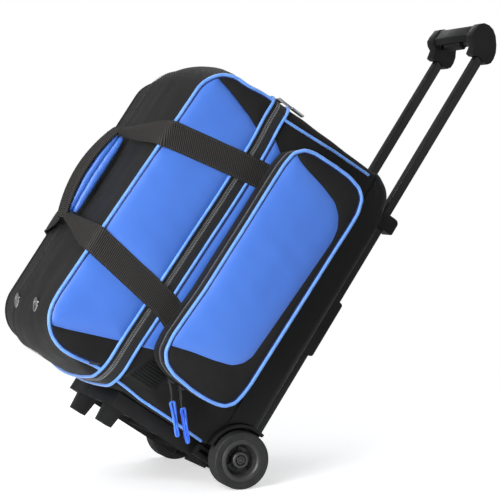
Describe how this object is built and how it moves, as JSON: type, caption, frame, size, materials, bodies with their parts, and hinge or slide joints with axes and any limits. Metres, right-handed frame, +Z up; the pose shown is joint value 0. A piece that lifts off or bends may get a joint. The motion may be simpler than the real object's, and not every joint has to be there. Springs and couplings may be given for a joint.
{
  "type": "bowling ball bag",
  "caption": "Soft-sided roller bag for bowling balls with a hinged zip lid, front pocket, carry handles, moulded base, wheels, stand legs and a telescoping pull handle",
  "frame": {"origin": "middle of the wheel axle line, on the bag's middle plane", "axes": "+Z up along the trolley tubes with the bag standing, +X towards the trolley side, -X towards the lid and carry handles, -Y towards the front pocket"},
  "size_m": [0.489, 0.3648, 0.9077],
  "materials": {
    "tray_plastic": "smooth satin-gloss black moulding",
    "black_plastic": "fine-grained black moulding",
    "grip_plastic": "black moulded grip",
    "light_plastic": "grey nylon",
    "tube_paint": "gloss black painted tube",
    "steel": "bright steel",
    "dark_steel": "dark plated steel",
    "silver": "bright nickel",
    "tyre": "dark grey grooved rubber",
    "hub": "dark moulded hub",
    "black_fabric": "black woven polyester",
    "blue_fabric": "coated blue fabric with a soft sheen",
    "blue_piping": "light blue piping",
    "webbing": "black twill webbing",
    "zip_tape": "black zipper tape",
    "zip_coil": "dark nylon coil",
    "foam": "black foam padding",
    "blue_cord": "bright blue cord",
    "board": "stiff board"
  },
  "bodies": {
    "chassis": {"base_tray": "tray_plastic", "end_frame": "black_plastic", "stand_legs": "black_plastic", "wheel_fenders": "black_plastic", "axle_brackets": "black_plastic", "axle_bolts": "steel", "axle_nuts": "dark_steel", "outer_tubes": "tube_paint", "top_collars": "black_plastic", "skid_brackets": "black_plastic", "lower_brackets": "black_plastic", "bracket_screws": "dark_steel", "lower_shell": "black_fabric", "base_board": "board", "ball_cups": "foam", "cup_pads": "foam", "divider": "foam", "front_strip": "blue_fabric", "vent_patch": "black_plastic", "zip_tape_body": "zip_tape", "zip_coil_body": "zip_coil", "zip_piping_body": "blue_piping", "pocket_gusset": "black_fabric", "pocket_zip": "zip_tape", "fixed_straps": "webbing", "strap_tacks": "webbing"},
    "trolley": {"inner_tubes": "tube_paint", "slide_shoes": "light_plastic", "grip_bar": "grip_plastic", "grip_cheeks": "grip_plastic", "grip_screws": "dark_steel"},
    "release": {"release_button": "black_plastic", "push_rods": "steel"},
    "left_wheel": {"left_hub": "hub", "left_tyre": "tyre"},
    "right_wheel": {"right_hub": "hub", "right_tyre": "tyre"},
    "lid": {"lid_shell": "black_fabric", "lid_pad": "foam", "lid_panel": "blue_fabric", "lid_piping": "blue_piping", "zip_tape_lid": "zip_tape", "zip_coil_lid": "zip_coil", "zip_piping_lid": "blue_piping", "eyelets": "silver"},
    "front_handle": {"front_straps": "webbing", "front_grip": "blue_fabric"},
    "rear_handle": {"rear_straps": "webbing", "rear_grip": "blue_fabric"},
    "pocket": {"pocket_flap": "black_fabric", "pocket_panel": "blue_fabric", "pocket_piping": "blue_piping"},
    "main_zip": {"main_slider": "silver"},
    "main_tab": {"main_pull": "silver"},
    "pocket_zip_a": {"pocket_slider_a": "dark_steel"},
    "pocket_zip_b": {"pocket_slider_b": "dark_steel"},
    "pull_a": {"cord_a": "blue_cord"},
    "pull_b": {"cord_b": "blue_cord"}
  },
  "joints": [
    {"name": "trolley_slide", "type": "slide", "parent": "chassis", "child": "trolley", "axis": [0, 0, 1], "range_m": [-0.3, 0]},
    {"name": "release_press", "type": "slide", "parent": "trolley", "child": "release", "axis": [0, 0, 1], "range_m": [0, 0.004], "stiffness_N_per_m": 400},
    {"name": "left_wheel_spin", "type": "hinge", "parent": "chassis", "child": "left_wheel", "pos_m": [0, -0.148, 0], "axis": [0, 1, 0], "continuous": true},
    {"name": "right_wheel_spin", "type": "hinge", "parent": "chassis", "child": "right_wheel", "pos_m": [0, 0.148, 0], "axis": [0, 1, 0], "continuous": true},
    {"name": "lid_hinge", "type": "hinge", "parent": "chassis", "child": "lid", "pos_m": [-0.247, 0.1415, 0.249], "axis": [0, 0, -1], "range_deg": [0, 50]},
    {"name": "front_handle_swing", "type": "hinge", "parent": "chassis", "child": "front_handle", "pos_m": [-0.232, -0.1445, 0.249], "axis": [0, 0, 1], "range_deg": [0, 114], "deforming": ["front_straps"]},
    {"name": "rear_handle_swing", "type": "hinge", "parent": "chassis", "child": "rear_handle", "pos_m": [-0.232, 0.1445, 0.249], "axis": [0, 0, -1], "range_deg": [0, 114], "deforming": ["rear_straps"]},
    {"name": "pocket_flap_hinge", "type": "hinge", "parent": "chassis", "child": "pocket", "pos_m": [-0.0655, -0.1714, 0.255], "axis": [0, 0, 1], "range_deg": [0, 95]},
    {"name": "main_zip_slide", "type": "slide", "parent": "chassis", "child": "main_zip", "axis": [0, 1, 0], "range_m": [0, 0.24]},
    {"name": "main_pull_swing", "type": "hinge", "parent": "main_zip", "child": "main_tab", "pos_m": [-0.2445, -0.126, 0.5098], "axis": [0, -1, 0], "range_deg": [0, 100]},
    {"name": "pocket_zip_a_slide", "type": "slide", "parent": "chassis", "child": "pocket_zip_a", "axis": [1, 0, 0], "range_m": [-0.004, 0.006]},
    {"name": "pocket_zip_b_slide", "type": "slide", "parent": "chassis", "child": "pocket_zip_b", "axis": [1, 0, 0], "range_m": [0, 0.05]},
    {"name": "pull_a_swing", "type": "hinge", "parent": "pocket_zip_a", "child": "pull_a", "pos_m": [-0.173, -0.1715, 0.039], "axis": [0, 1, 0], "range_deg": [-5, 60]},
    {"name": "pull_b_swing", "type": "hinge", "parent": "pocket_zip_b", "child": "pull_b", "pos_m": [-0.153, -0.1715, 0.039], "axis": [0, 1, 0], "range_deg": [-41, 5]}
  ],
  "couplings": [
    {"joint": "front_handle_swing", "follows": "lid_hinge", "ratio": 2.28},
    {"joint": "rear_handle_swing", "follows": "lid_hinge", "ratio": 2.28}
  ]
}
